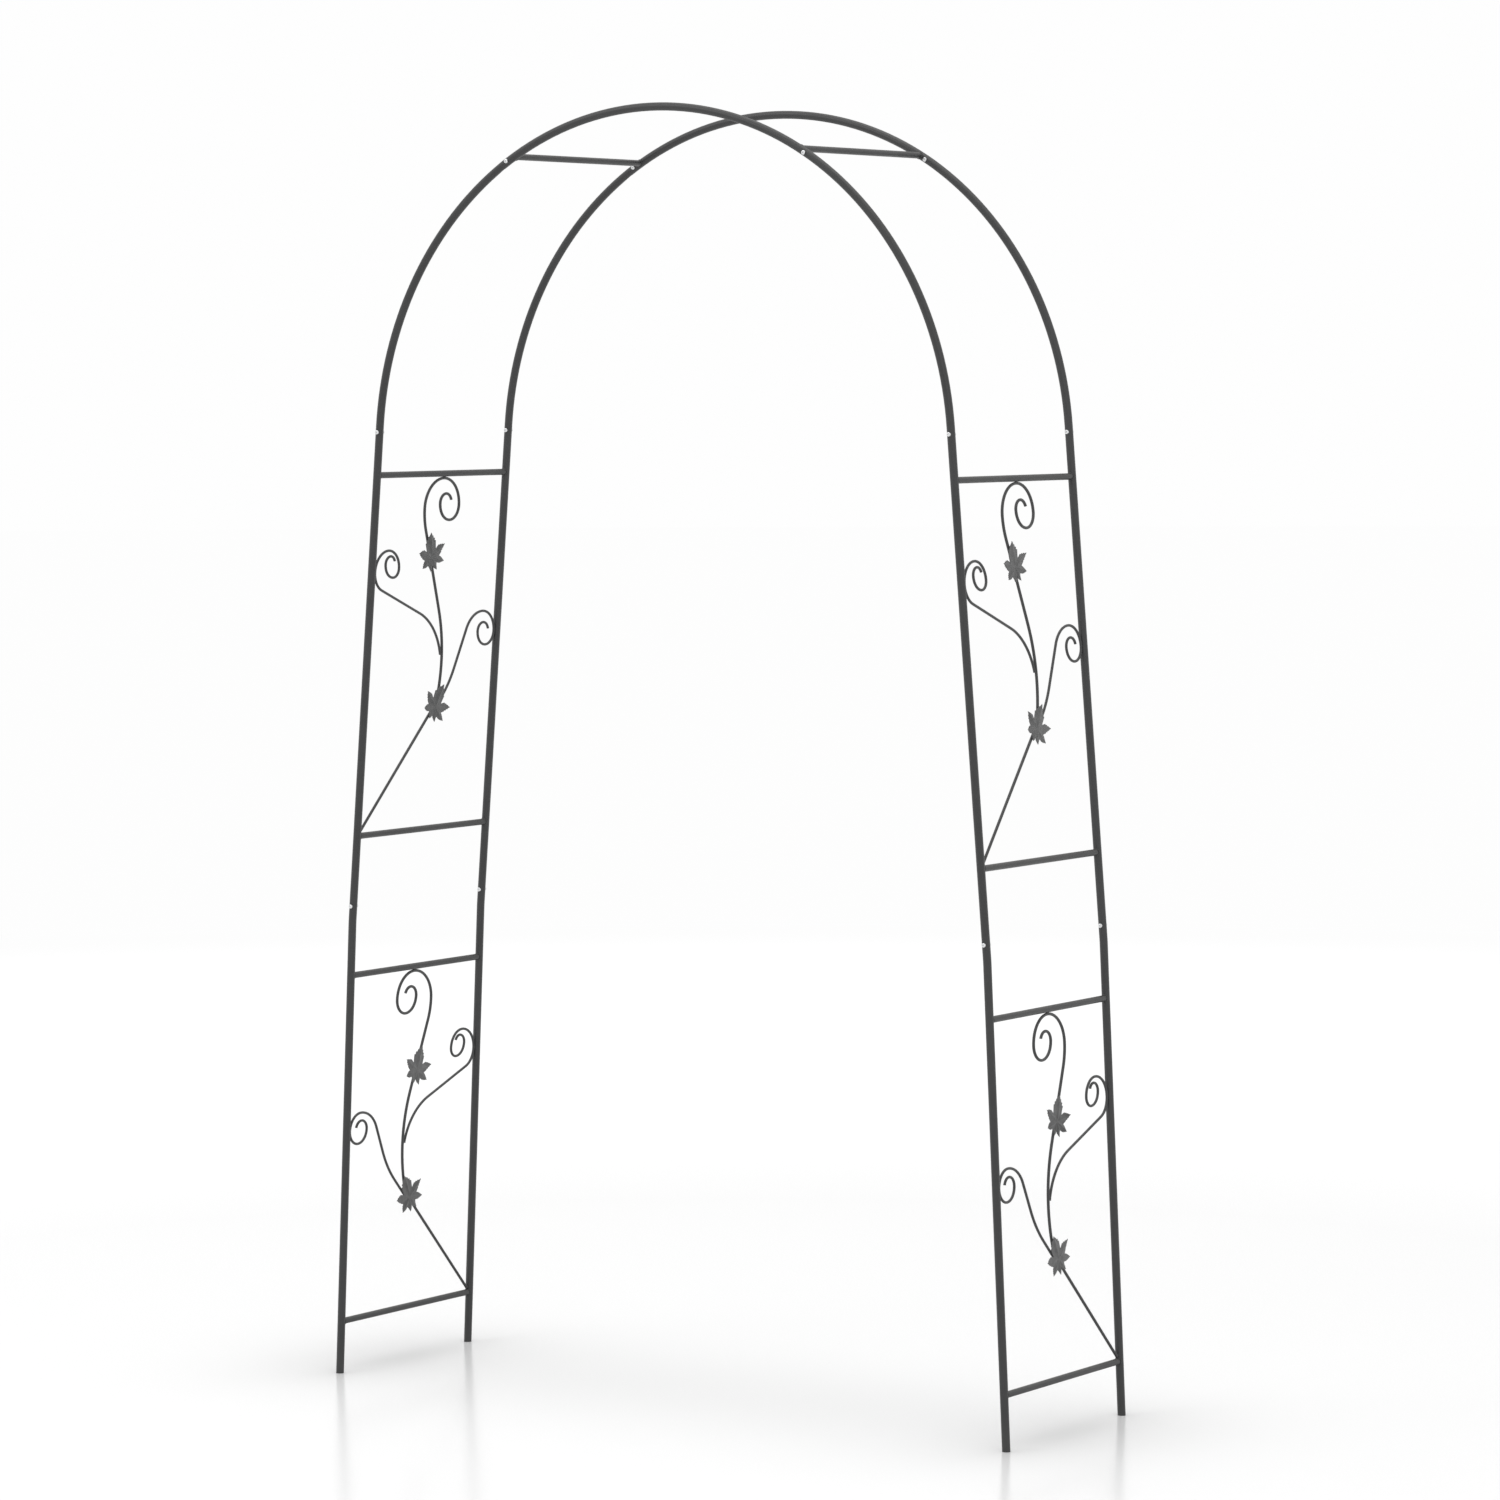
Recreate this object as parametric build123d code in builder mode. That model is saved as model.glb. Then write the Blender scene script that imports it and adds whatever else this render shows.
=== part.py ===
from build123d import *
import os
from math import acos, atan2, cos, degrees, hypot, radians, sin

# Metal trellis arch for a garden path, in millimetres.
# Two tubular hoops stand one behind the other. On each side a lower and an upper ladder panel join
# them, each panel filled with wire scrollwork and stamped leaves, and two rungs join them at the crown.
# +X runs across the path, +Y from the front hoop to the rear hoop, +Z up.
# The origin is on the ground, at the middle of the four feet. "Left" is the -X side.

os.makedirs("parts", exist_ok=True)

# Tubes and wires
TUBE_R = 7.5
TUBE_WALL = 1.0
RUNG_R = 6.0
RUNG_WALL = 1.0
STEM_R = 2.75
TENDRIL_R = 2.5
WELD_GAP = 0.05  # left between pieces that are welded where they touch

# Hoops: leaning lower legs, upper legs that lean a little more, and a round top
HOOP_SPACING = 415.0
HOOP_TOP = 2392.5  # centreline of the tube
ARCH_R = 630.0
FOOT_X = 741.0
KNEE_X, KNEE_Z = 700.0, 900.0  # screw of the joint between lower and upper leg
SHOULDER_Z = 1800.0  # screw of the joint between upper leg and side curve
CROWN_SCREW_ANGLE = 58.8  # degrees round the arch, from the horizontal
CROWN_RUNG_ANGLE = 60.2

# Plug-in tube joints: a reduced spigot on the lower tube, one cross screw and nut
SPIGOT_R = 6.4
SPIGOT_LENGTH = 30.0
COLLAR = 2.0  # wall that steps down from the tube to the spigot
SCREW_RISE = 15.0  # from the visible seam up to the screw
LEG_BEND_DROP = 30.0  # from the knee screw down to the slight bend of the lower leg
LEG_BEND_R = 300.0
SCREW_HOLE_R = 2.2
SCREW_R = 2.0
SCREW_LENGTH = 20.0
HEAD_R = 4.0
HEAD_HEIGHT = 3.0
HEAD_ROUND = 1.6
RECESS_LENGTH, RECESS_WIDTH, RECESS_DEPTH = 4.2, 1.0, 1.5
NUT_FLATS = 7.0
NUT_HEIGHT = 3.2
NUT_HOLE_R = 2.05

# Heights of the rungs
RUNG_Z = {"lower": (100.0, 767.0), "upper": (1034.0, 1719.0)}

# Scrollwork, in the plane of its panel: u along the rungs, v up the legs from the bottom rung.
# A wire's course is a list of (length, 0) for a straight run and (radius, turn) for an arc,
# with the turn in degrees, counter-clockwise positive.
STAY_BEND_R = 40.0
STEM_BOW_R = 300.0
STEM_NECK_R = 120.0
HIGH_START_HEADING = 104.0  # where the high tendril leaves the stem
HIGH_BOW_R = 119.0
HIGH_HEADING = 159.0  # straight run of the high tendril
HIGH_TOUCH_R = 38.0
LOW_WELD_RUN = 20.0
LOW_BOW_R = 200.0
LOW_HEADING = 66.0  # straight run of the low tendril
LOW_NECK_R = 55.0
TOP_CURL = [(57, -90), (53, -90), (28, -90), (33, -90), (18, -90), (18, -70)]
HIGH_CURL = [(40, -90), (35, -90), (17, -90), (26, -90), (15, -90), (14, -70)]
LOW_CURL = [(26, -90), (27, -90), (17, -90), (17, -75)]
# The lower panels carry the same scroll turned front to back, on slightly shorter legs.
SCROLL = {
    "upper": {
        "turned": 1,
        "stay_heading": 46.9,  # the stem leaves the bottom corner as a straight stay
        "bow_heading": 77.0,
        "widest": (31.0, 322.0),
        "stem_lean": 20.0,
        "high_rise": 15.0,  # from the stem's widest point up to the end of the high tendril
        "low_run": 48.0,
        "low_rise": 83.0,
        "low_leaf_run": 0.0,
        "high_leaf_run": 110.0,
    },
    "lower": {
        "turned": -1,
        "stay_heading": 45.6,
        "bow_heading": 74.5,
        "widest": (28.0, 316.0),
        "stem_lean": 21.0,
        "high_rise": 8.0,
        "low_run": 77.0,
        "low_rise": 57.0,
        "low_leaf_run": -3.0,
        "high_leaf_run": 43.0,
    },
}

# Stamped maple leaf, its tip along 90 degrees: lobes as (direction, length, shoulder, half width there)
# and the notches between them as (direction, depth from the middle)
LEAF_THICKNESS = 1.2
LEAF_DISH_R = 300.0
LEAF_DEPTH = 20.0  # deeper than the dished leaf, to cut its outline
LEAF_LOBES = [(-71, 29, 22, 4.5), (-25, 37, 27, 6.0), (22, 45, 29, 8.0), (90, 48, 29, 15.0)]
LEAF_NOTCHES = [(-47, 20), (-7, 23), (42, 19)]
LEAF_HEEL = 17.0
STEP, STEP_WIDTH = 0.3, 0.5  # from the shoulder to the tip, and how wide the lobe still is there
LOW_LEAF_HEADING = 65.0
HIGH_LEAF_HEADING = 102.0

SIDES = {"left": -1, "right": 1}
ROWS = {"front": -HOOP_SPACING / 2, "rear": HOOP_SPACING / 2}

# Where the hoop centreline runs, worked out for the right-hand side
arch_centre_z = HOOP_TOP - ARCH_R
upper_lean = degrees(
    acos(ARCH_R / hypot(KNEE_X, arch_centre_z - KNEE_Z)) - atan2(arch_centre_z - KNEE_Z, KNEE_X)
)


def on_upper_leg(distance):
    """A point (x, z) on the axis of the right upper leg, measured up from the knee screw."""
    return KNEE_X - distance * sin(radians(upper_lean)), KNEE_Z + distance * cos(radians(upper_lean))


def on_arch(angle):
    """A point (x, z) on the round top, at an angle from the horizontal."""
    return ARCH_R * cos(radians(angle)), arch_centre_z + ARCH_R * sin(radians(angle))


def arch_degrees(length):
    return degrees(length / ARCH_R)


leg_bend = on_upper_leg(-LEG_BEND_DROP)
lower_lean = degrees(atan2(FOOT_X - leg_bend[0], leg_bend[1]))
shoulder_distance = (SHOULDER_Z - KNEE_Z) / cos(radians(upper_lean))
knee_seam = -SCREW_RISE
shoulder_seam = shoulder_distance - SCREW_RISE
crown_seam = CROWN_SCREW_ANGLE - arch_degrees(SCREW_RISE)
LEAN = {"lower": lower_lean, "upper": upper_lean}


def leg_x(level, z):
    """How far the leg's axis is from the middle of the path, at a height."""
    if level == "lower":
        return FOOT_X - z * (FOOT_X - leg_bend[0]) / leg_bend[1]
    return KNEE_X - (z - KNEE_Z) * sin(radians(upper_lean)) / cos(radians(upper_lean))


def save(part, name):
    part.label = name
    export_step(part, f"parts/{name}.step")


# Tubes of the hoops, drawn for the right-hand side in the plane Y = 0


def hoop_tube(body, collar=None, spigot=None, screws=()):
    """A hollow tube along its path, with a spigot at its upper end if the next tube plugs onto it."""
    rings = [(body, TUBE_R, TUBE_R - TUBE_WALL)]
    if spigot:
        rings.append((collar, TUBE_R, SPIGOT_R - TUBE_WALL))
        rings.append((spigot, SPIGOT_R, SPIGOT_R - TUBE_WALL))
    with BuildPart() as tube:
        for path, outer, inner in rings:
            with BuildSketch(Plane(origin=path @ 0, z_dir=path % 0)):
                Circle(outer)
                Circle(inner, mode=Mode.SUBTRACT)
            sweep(path=path)
        split(bisect_by=Plane.XY, keep=Keep.TOP)
        for x, z in screws:
            with BuildSketch(Plane(origin=(x, 0, z), z_dir=(0, 1, 0))):
                Circle(SCREW_HOLE_R)
            extrude(amount=2 * TUBE_R, both=True, mode=Mode.SUBTRACT)
    return tube.part


knee_screw = on_upper_leg(0)
shoulder_screw = on_upper_leg(shoulder_distance)
crown_screw = on_arch(CROWN_SCREW_ANGLE)

below_ground = (leg_x("lower", -TUBE_R), -TUBE_R)
with BuildLine(Plane.XZ) as lower_leg_path:
    FilletPolyline(below_ground, leg_bend, on_upper_leg(knee_seam - COLLAR), radius=LEG_BEND_R)
with BuildLine(Plane.XZ) as knee_collar_path:
    Line(on_upper_leg(knee_seam - COLLAR), on_upper_leg(knee_seam))
with BuildLine(Plane.XZ) as knee_spigot_path:
    Line(on_upper_leg(knee_seam), on_upper_leg(knee_seam + SPIGOT_LENGTH))
lower_leg = hoop_tube(
    lower_leg_path.line, knee_collar_path.line, knee_spigot_path.line, screws=[knee_screw]
)

with BuildLine(Plane.XZ) as upper_leg_path:
    Line(on_upper_leg(knee_seam), on_upper_leg(shoulder_seam - COLLAR))
with BuildLine(Plane.XZ) as shoulder_collar_path:
    Line(on_upper_leg(shoulder_seam - COLLAR), on_upper_leg(shoulder_seam))
with BuildLine(Plane.XZ) as shoulder_spigot_path:
    Line(on_upper_leg(shoulder_seam), on_upper_leg(shoulder_seam + SPIGOT_LENGTH))
upper_leg = hoop_tube(
    upper_leg_path.line,
    shoulder_collar_path.line,
    shoulder_spigot_path.line,
    screws=[knee_screw, shoulder_screw],
)

arch_centre = (0, arch_centre_z)
collar_turn = arch_degrees(COLLAR)
with BuildLine(Plane.XZ) as side_curve_path:
    Line(on_upper_leg(shoulder_seam), on_arch(upper_lean))
    CenterArc(arch_centre, ARCH_R, upper_lean, crown_seam - collar_turn - upper_lean)
with BuildLine(Plane.XZ) as crown_collar_path:
    CenterArc(arch_centre, ARCH_R, crown_seam - collar_turn, collar_turn)
with BuildLine(Plane.XZ) as crown_spigot_path:
    CenterArc(arch_centre, ARCH_R, crown_seam, arch_degrees(SPIGOT_LENGTH))
side_curve = hoop_tube(
    side_curve_path.line,
    crown_collar_path.line,
    crown_spigot_path.line,
    screws=[shoulder_screw, crown_screw],
)

with BuildLine(Plane.XZ) as crown_path:
    CenterArc(arch_centre, ARCH_R, crown_seam, 180 - 2 * crown_seam)
crown_tube = hoop_tube(crown_path.line, screws=[crown_screw, (-crown_screw[0], crown_screw[1])])


def placed(source, y, side):
    """A copy of a right-hand tube, moved to its hoop and mirrored for the left-hand side."""
    with BuildPart() as copy:
        with Locations((0, y, 0)):
            add(source)
        if side < 0:
            mirror(about=Plane.YZ, mode=Mode.REPLACE)
    return copy.part


for row, y in ROWS.items():
    for side, sign in SIDES.items():
        save(placed(lower_leg, y, sign), f"{side}_{row}_lower_leg")
        save(placed(upper_leg, y, sign), f"{side}_{row}_upper_leg")
        save(placed(side_curve, y, sign), f"{side}_{row}_side_curve")
    save(placed(crown_tube, y, 1), f"{row}_crown_tube")


# Rungs, cut to a saddle at each end where they are welded to the tubes


def rung(x, z, tube_direction):
    with BuildPart() as bar:
        with BuildSketch(Plane(origin=(x, 0, z), z_dir=(0, 1, 0))):
            Circle(RUNG_R)
            Circle(RUNG_R - RUNG_WALL, mode=Mode.SUBTRACT)
        extrude(amount=HOOP_SPACING / 2, both=True)
        for y in ROWS.values():
            with BuildSketch(Plane(origin=(x, y, z), z_dir=tube_direction)):
                Circle(TUBE_R + WELD_GAP)
            extrude(amount=2 * TUBE_R, both=True, mode=Mode.SUBTRACT)
    return bar.part


for side, sign in SIDES.items():
    for level, heights in RUNG_Z.items():
        along_leg = (-sign * sin(radians(LEAN[level])), 0, cos(radians(LEAN[level])))
        for place, z in zip(("bottom", "top"), heights):
            save(rung(sign * leg_x(level, z), z, along_leg), f"{side}_{level}_{place}_rung")
    crown_x, crown_z = on_arch(CROWN_RUNG_ANGLE)
    along_arch = (-sign * sin(radians(CROWN_RUNG_ANGLE)), 0, cos(radians(CROWN_RUNG_ANGLE)))
    save(rung(sign * crown_x, crown_z, along_arch), f"{side}_crown_rung")


# Scrollwork


def travel(point, heading, course):
    """Where a wire ends in its panel, after a course of straight runs and arcs."""
    u, v = point
    for size, turn in course:
        before = radians(heading)
        after = radians(heading + turn)
        if turn == 0:
            u += size * cos(before)
            v += size * sin(before)
        else:
            way = 1 if turn > 0 else -1
            u += way * size * (sin(after) - sin(before))
            v -= way * size * (cos(after) - cos(before))
        heading += turn
    return u, v


def bent_wire(panel, start, heading, course, radius):
    point = panel.from_local_coords((*start, 0))
    aim = panel.x_dir * cos(radians(heading)) + panel.y_dir * sin(radians(heading))
    with BuildPart() as wire:
        with BuildLine(panel) as path:
            for size, turn in course:
                if turn == 0:
                    run = Line(point, point + aim * size)
                else:
                    run = JernArc(point, aim, size, turn)
                point, aim = run @ 1, run % 1
        with BuildSketch(Plane(origin=path.line @ 0, z_dir=path.line % 0)):
            Circle(radius)
        sweep()
    return wire.part


def leaf_outline():
    """Corners of the leaf, its tip along +Y: one half by its lobes and notches, the other mirrored."""
    half = [(0, -LEAF_HEEL)]
    for index, (direction, length, shoulder, width) in enumerate(LEAF_LOBES):
        reach = radians(direction)
        step = shoulder + STEP * (length - shoulder)
        profile = [(shoulder, -width), (step, -STEP_WIDTH * width), (length, 0)]
        if direction < 90:
            profile += [(step, STEP_WIDTH * width), (shoulder, width)]
        for along, across in profile:
            half.append((
                along * cos(reach) - across * sin(reach),
                along * sin(reach) + across * cos(reach),
            ))
        if index < len(LEAF_NOTCHES):
            angle, depth = LEAF_NOTCHES[index]
            half.append((depth * cos(radians(angle)), depth * sin(radians(angle))))
    return half + [(-x, y) for x, y in reversed(half[1:-1])]


def stamped_leaf(panel, centre, heading, turned):
    """A slightly dished sheet leaf whose bulge touches the stem, on the +X side of the panel."""
    tip = panel.x_dir * cos(radians(heading)) + panel.y_dir * sin(radians(heading))
    normal = panel.z_dir * turned
    seat = Plane(
        origin=panel.from_local_coords((*centre, 0)), x_dir=tip.cross(normal), z_dir=normal
    )
    dish_centre = seat.offset(STEM_R + WELD_GAP + LEAF_DISH_R).origin
    with BuildPart() as leaf:
        with BuildSketch(seat):
            with BuildLine():
                Polyline(*leaf_outline(), close=True)
            make_face()
        extrude(amount=LEAF_DEPTH)
        with Locations(dish_centre):
            Sphere(LEAF_DISH_R, mode=Mode.INTERSECT)
            Sphere(LEAF_DISH_R - LEAF_THICKNESS, mode=Mode.SUBTRACT)
    return leaf.part


def scroll_panel(side, sign, level):
    scroll = SCROLL[level]
    turned = scroll["turned"]
    lean = radians(LEAN[level])
    bottom_z, top_z = RUNG_Z[level]
    height = (top_z - bottom_z) / cos(lean)
    up = Vector(-sign * sin(lean), 0, cos(lean))
    across = Vector(0, turned, 0)
    panel = Plane(
        origin=(sign * leg_x(level, bottom_z), 0, bottom_z), x_dir=across, z_dir=across.cross(up)
    )
    name = f"{side}_{level}"
    stem_touch_v = height - RUNG_R - STEM_R - WELD_GAP
    tendril_touch_u = HOOP_SPACING / 2 - TUBE_R - TENDRIL_R - WELD_GAP

    # Stem: a stay out of the bottom corner, bent up behind the low leaf, bowed past its widest
    # point and led straight into the curl that touches the top rung.
    stay_heading = scroll["stay_heading"]
    bow_heading = scroll["bow_heading"]
    widest_u, widest_v = scroll["widest"]
    bow_centre = (widest_u - STEM_BOW_R, widest_v)
    bow_angle = radians(bow_heading - 90)
    bow_start = (
        bow_centre[0] + STEM_BOW_R * cos(bow_angle),
        bow_centre[1] + STEM_BOW_R * sin(bow_angle),
    )
    bend = [(STAY_BEND_R, bow_heading - stay_heading)]
    bend_u, bend_v = travel((0, 0), stay_heading, bend)
    stay_end = (bow_start[0] - bend_u, bow_start[1] - bend_v)
    stay_u = -(HOOP_SPACING / 2 - TUBE_R - STEM_R * sin(radians(stay_heading)) - WELD_GAP)
    stay = (stay_end[0] - stay_u) / cos(radians(stay_heading))
    stem_start = travel(stay_end, stay_heading, [(-stay, 0)])
    stem_lean = scroll["stem_lean"]
    bow = [(STEM_BOW_R, 90 + stem_lean - bow_heading)]
    bow_end = travel(bow_start, bow_heading, bow)
    neck = [(STEM_NECK_R, -stem_lean)]
    curl_start_v = stem_touch_v - TOP_CURL[0][0]
    neck_rise = travel((0, 0), 90 + stem_lean, neck)[1]
    stem_run = (curl_start_v - neck_rise - bow_end[1]) / cos(radians(stem_lean))
    stem_course = [(stay, 0)] + bend + bow + [(stem_run, 0)] + neck + TOP_CURL
    save(bent_wire(panel, stem_start, stay_heading, stem_course, STEM_R), f"{name}_stem")

    # High tendril: its end against the inside of the stem's bow, then across to touch the leg.
    side_by_side = STEM_R + TENDRIL_R + WELD_GAP
    weld_r = STEM_BOW_R - side_by_side
    weld_angle = scroll["high_rise"] / weld_r
    high_start = (bow_centre[0] + weld_r * cos(weld_angle), bow_centre[1] + weld_r * sin(weld_angle))
    high_bow = [(HIGH_BOW_R, HIGH_HEADING - HIGH_START_HEADING)]
    high_touch = [(HIGH_TOUCH_R, 90 - HIGH_HEADING)]
    high_reach_u = travel(high_start, HIGH_START_HEADING, high_bow + high_touch)[0]
    high_run = (high_reach_u + tendril_touch_u) / -cos(radians(HIGH_HEADING))
    high_course = high_bow + [(high_run, 0)] + high_touch + HIGH_CURL
    save(
        bent_wire(panel, high_start, HIGH_START_HEADING, high_course, TENDRIL_R),
        f"{name}_high_tendril",
    )

    # Low tendril: laid along the end of the stay, then up in a bow to touch the other leg.
    beside_u = side_by_side * sin(radians(stay_heading))
    beside_v = -side_by_side * cos(radians(stay_heading))
    low_start = travel(
        (stay_end[0] + beside_u, stay_end[1] + beside_v), stay_heading, [(-LOW_WELD_RUN, 0)]
    )
    low_lead = [
        (scroll["low_run"], 0),
        (LOW_BOW_R, LOW_HEADING - stay_heading),
        (scroll["low_rise"], 0),
        (LOW_NECK_R, -LOW_HEADING),
    ]
    low_touch_r = tendril_touch_u - travel(low_start, stay_heading, low_lead)[0]
    low_course = low_lead + [(low_touch_r, -90)] + LOW_CURL
    save(bent_wire(panel, low_start, stay_heading, low_course, TENDRIL_R), f"{name}_low_tendril")

    # Leaves, welded to the stem beside its bend and part of the way up its straight run.
    low_leaf = travel(stay_end, stay_heading, [(scroll["low_leaf_run"], 0)])
    save(stamped_leaf(panel, low_leaf, LOW_LEAF_HEADING, turned), f"{name}_low_leaf")
    high_leaf = travel(bow_end, 90 + stem_lean, [(scroll["high_leaf_run"], 0)])
    save(stamped_leaf(panel, high_leaf, HIGH_LEAF_HEADING, turned), f"{name}_high_leaf")


for side, sign in SIDES.items():
    for level in RUNG_Z:
        scroll_panel(side, sign, level)


# Joint screws with their heads to the front of both hoops, and nuts behind

joint_points = [
    (sign * x, z) for x, z in (knee_screw, shoulder_screw, crown_screw) for sign in SIDES.values()
]
head_seats = [
    Plane(origin=(x, y - TUBE_R - WELD_GAP, z), z_dir=(0, -1, 0))
    for y in ROWS.values()
    for x, z in joint_points
]
nut_seats = [
    Plane(origin=(x, y + TUBE_R + WELD_GAP, z), z_dir=(0, 1, 0))
    for y in ROWS.values()
    for x, z in joint_points
]

with BuildPart() as joint_screw:  # seated on the ground plane, its shank down
    with BuildSketch():
        Circle(HEAD_R)
    extrude(amount=HEAD_HEIGHT)
    fillet(joint_screw.edges().sort_by(Axis.Z)[-1], radius=HEAD_ROUND)
    with BuildSketch(Plane.XY.offset(HEAD_HEIGHT)):
        Rectangle(RECESS_LENGTH, RECESS_WIDTH)
        Rectangle(RECESS_WIDTH, RECESS_LENGTH)
    extrude(amount=-RECESS_DEPTH, mode=Mode.SUBTRACT)
    with BuildSketch():
        Circle(SCREW_R)
    extrude(amount=-SCREW_LENGTH)

with BuildPart() as joint_screws:
    with Locations(*head_seats):
        add(joint_screw.part)
save(joint_screws.part, "joint_screws")

with BuildPart() as joint_nut:
    with BuildSketch():
        RegularPolygon(NUT_FLATS / 2, side_count=6, major_radius=False)
    extrude(amount=NUT_HEIGHT)
    with BuildSketch():
        Circle(NUT_HOLE_R)
    extrude(amount=NUT_HEIGHT, mode=Mode.SUBTRACT)

with BuildPart() as joint_nuts:
    with Locations(*nut_seats):
        add(joint_nut.part)
save(joint_nuts.part, "joint_nuts")
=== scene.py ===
import math
import random

import bpy
import numpy as np
from mathutils import Matrix, Vector
from mathutils.bvhtree import BVHTree


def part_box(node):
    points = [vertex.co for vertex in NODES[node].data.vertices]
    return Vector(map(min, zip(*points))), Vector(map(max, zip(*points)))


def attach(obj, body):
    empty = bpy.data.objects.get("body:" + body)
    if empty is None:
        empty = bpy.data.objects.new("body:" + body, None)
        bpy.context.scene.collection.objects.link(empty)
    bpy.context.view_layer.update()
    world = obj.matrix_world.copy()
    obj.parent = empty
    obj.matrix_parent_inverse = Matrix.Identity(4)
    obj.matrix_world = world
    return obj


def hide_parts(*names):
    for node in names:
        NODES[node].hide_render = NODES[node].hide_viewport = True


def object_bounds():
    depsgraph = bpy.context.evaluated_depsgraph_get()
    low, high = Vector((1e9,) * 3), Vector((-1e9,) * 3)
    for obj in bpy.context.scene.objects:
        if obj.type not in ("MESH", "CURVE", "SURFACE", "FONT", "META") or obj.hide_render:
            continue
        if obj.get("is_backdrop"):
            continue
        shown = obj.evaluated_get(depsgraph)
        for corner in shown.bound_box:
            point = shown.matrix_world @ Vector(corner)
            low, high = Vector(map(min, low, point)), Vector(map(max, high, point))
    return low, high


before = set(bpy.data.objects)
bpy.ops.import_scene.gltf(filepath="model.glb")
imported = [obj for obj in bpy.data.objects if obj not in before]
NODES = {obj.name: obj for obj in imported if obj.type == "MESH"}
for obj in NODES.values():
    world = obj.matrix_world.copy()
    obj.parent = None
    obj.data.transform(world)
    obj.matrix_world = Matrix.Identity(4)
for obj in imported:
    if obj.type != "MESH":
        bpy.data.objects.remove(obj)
cad_low, cad_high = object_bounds()

# Everything is in metres, in the row's frame: +X across the path, +Y from the front hoop to the rear
# hoop, +Z up, the ground at z = 0.
MM = 0.001
TUBE_R, RUNG_R, STEM_R = 7.5 * MM, 6 * MM, 2.75 * MM
SIDES = {"left": -1, "right": 1}
ROWS = ("front", "rear")
LEVELS = {"lower": -1, "upper": 1}  # which way round the scroll is: its first touch is on the -Y leg if 1
LEAF_HEADING = {"low": 65, "high": 102}  # degrees from the rung's direction to the leaf's tip


# ---------------------------------------------------------------- materials

class Shader:
    """A node material, with short calls for the nodes it is built from."""

    def __init__(self, name):
        self.material = bpy.data.materials.new(name)
        self.material.use_nodes = True
        self.nodes = self.material.node_tree.nodes
        self.links = self.material.node_tree.links
        self.surface = self.nodes["Principled BSDF"]
        self.place = self.nodes.new("ShaderNodeTexCoord").outputs["Object"]

    def value(self, kind, inputs, output=0, **settings):
        node = self.nodes.new(kind)
        for key, setting in settings.items():
            setattr(node, key, setting)
        for key, source in inputs.items():
            if isinstance(source, bpy.types.NodeSocket):
                self.links.new(source, node.inputs[key])
            else:
                node.inputs[key].default_value = source
        return node.outputs[output]

    def noise(self, feature, detail=3.0, roughness=0.5, stretch=(1, 1, 1)):
        """Noise from 0 to 1 whose features are about that many metres across."""
        place = self.place
        if stretch != (1, 1, 1):
            place = self.value("ShaderNodeMapping", {"Vector": self.place, "Scale": stretch})
        return self.value("ShaderNodeTexNoise", {
            "Vector": place, "Scale": 1 / feature, "Detail": detail, "Roughness": roughness})

    def spread(self, source, low, high, out_low=0.0, out_high=1.0):
        return self.value("ShaderNodeMapRange", {
            "Value": source, "From Min": low, "From Max": high, "To Min": out_low, "To Max": out_high})

    def math(self, operation, a, b=0.0):
        return self.value("ShaderNodeMath", {0: a, 1: b}, operation=operation)

    def mix(self, share, low, high):
        """A colour between two colours."""
        node = self.nodes.new("ShaderNodeMix")
        node.data_type = "RGBA"
        for key, source in ((0, share), (6, low), (7, high)):
            if isinstance(source, bpy.types.NodeSocket):
                self.links.new(source, node.inputs[key])
            elif key == 0:
                node.inputs[key].default_value = source
            else:
                node.inputs[key].default_value = (*source, 1.0)
        return node.outputs[2]

    def upward(self):
        """1 where the surface faces up, 0 where it faces sideways or down."""
        normal = self.nodes.new("ShaderNodeNewGeometry").outputs["Normal"]
        rise = self.value("ShaderNodeSeparateXYZ", {"Vector": normal}, output=2)
        return self.spread(rise, 0.25, 1.0)

    def height(self):
        return self.value("ShaderNodeSeparateXYZ", {"Vector": self.place}, output=2)

    def bumps(self, *layers):
        """Bump from (height, depth in metres) layers, on top of each other."""
        normal = None
        for source, depth in layers:
            inputs = {"Height": source, "Distance": depth, "Strength": 1.0}
            if normal:
                inputs["Normal"] = normal
            normal = self.value("ShaderNodeBump", inputs)
        self.links.new(normal, self.surface.inputs["Normal"])

    def feed(self, **inputs):
        for key, source in inputs.items():
            socket = self.surface.inputs[key.replace("_", " ")]
            if isinstance(source, bpy.types.NodeSocket):
                self.links.new(source, socket)
            else:
                socket.default_value = (*source, 1.0) if isinstance(source, tuple) else source


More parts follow.
